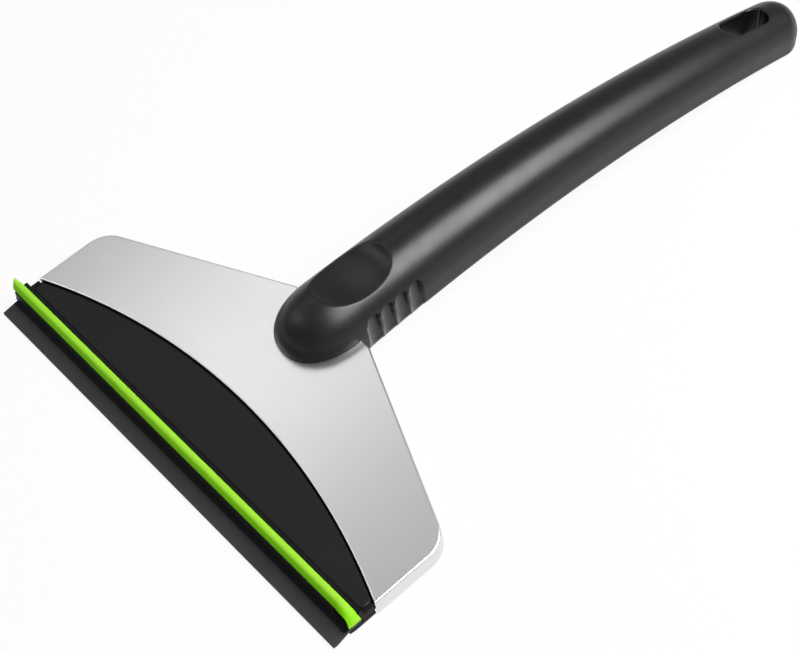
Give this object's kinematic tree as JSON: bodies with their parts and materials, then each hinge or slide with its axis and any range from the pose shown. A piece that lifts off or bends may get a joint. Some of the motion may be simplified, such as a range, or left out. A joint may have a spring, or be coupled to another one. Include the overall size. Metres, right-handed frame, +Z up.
{
  "type": "ice scraper",
  "caption": "Hand ice scraper: arched hollow grip with thumb recess and hanging slot, fan-shaped steel plate, and a wide blade under a sliding green lock bead.",
  "frame": {"origin": "middle of the blade's flat scraping land, on the surface that the scraper rests on", "axes": "+Y from the blade towards the handle's end, +X along the blade, to the right when +Y points away, +Z up from the surface it rests on"},
  "size_m": [0.1839, 0.2981, 0.0303],
  "materials": {
    "satin_black_plastic": "satin moulded, soft broad highlights",
    "holder_black_plastic": "fine matte moulded",
    "blade_grey_plastic": "matte, slightly worn at the edge",
    "lime_green_elastomer": "smooth satin extrusion",
    "satin_stainless": "fine satin, bright at the folded edge",
    "zinc_plated_steel": "zinc plated"
  },
  "bodies": {
    "scraper": {"scraper_plate": "satin_stainless", "blade_holder": "holder_black_plastic", "lens_cover": "holder_black_plastic", "clamp_bar": "holder_black_plastic", "scraper_blade": "blade_grey_plastic", "handle_top_shell": "satin_black_plastic", "handle_bottom_shell": "satin_black_plastic", "handle_screw_1": "zinc_plated_steel", "handle_screw_2": "zinc_plated_steel", "handle_screw_3": "zinc_plated_steel", "handle_screw_4": "zinc_plated_steel", "tang_screw_1": "zinc_plated_steel", "tang_screw_2": "zinc_plated_steel", "clamp_screw_1": "zinc_plated_steel", "clamp_screw_2": "zinc_plated_steel", "clamp_screw_3": "zinc_plated_steel", "clamp_screw_4": "zinc_plated_steel", "clamp_screw_5": "zinc_plated_steel", "stud_nut_1": "zinc_plated_steel", "stud_nut_2": "zinc_plated_steel", "stud_nut_3": "zinc_plated_steel", "stud_nut_4": "zinc_plated_steel", "stud_nut_5": "zinc_plated_steel"},
    "bead": {"lock_bead": "lime_green_elastomer"}
  },
  "joints": [
    {"name": "bead_slide", "type": "slide", "parent": "scraper", "child": "bead", "axis": [1, 0, 0], "range_m": [0, 0.16]}
  ]
}
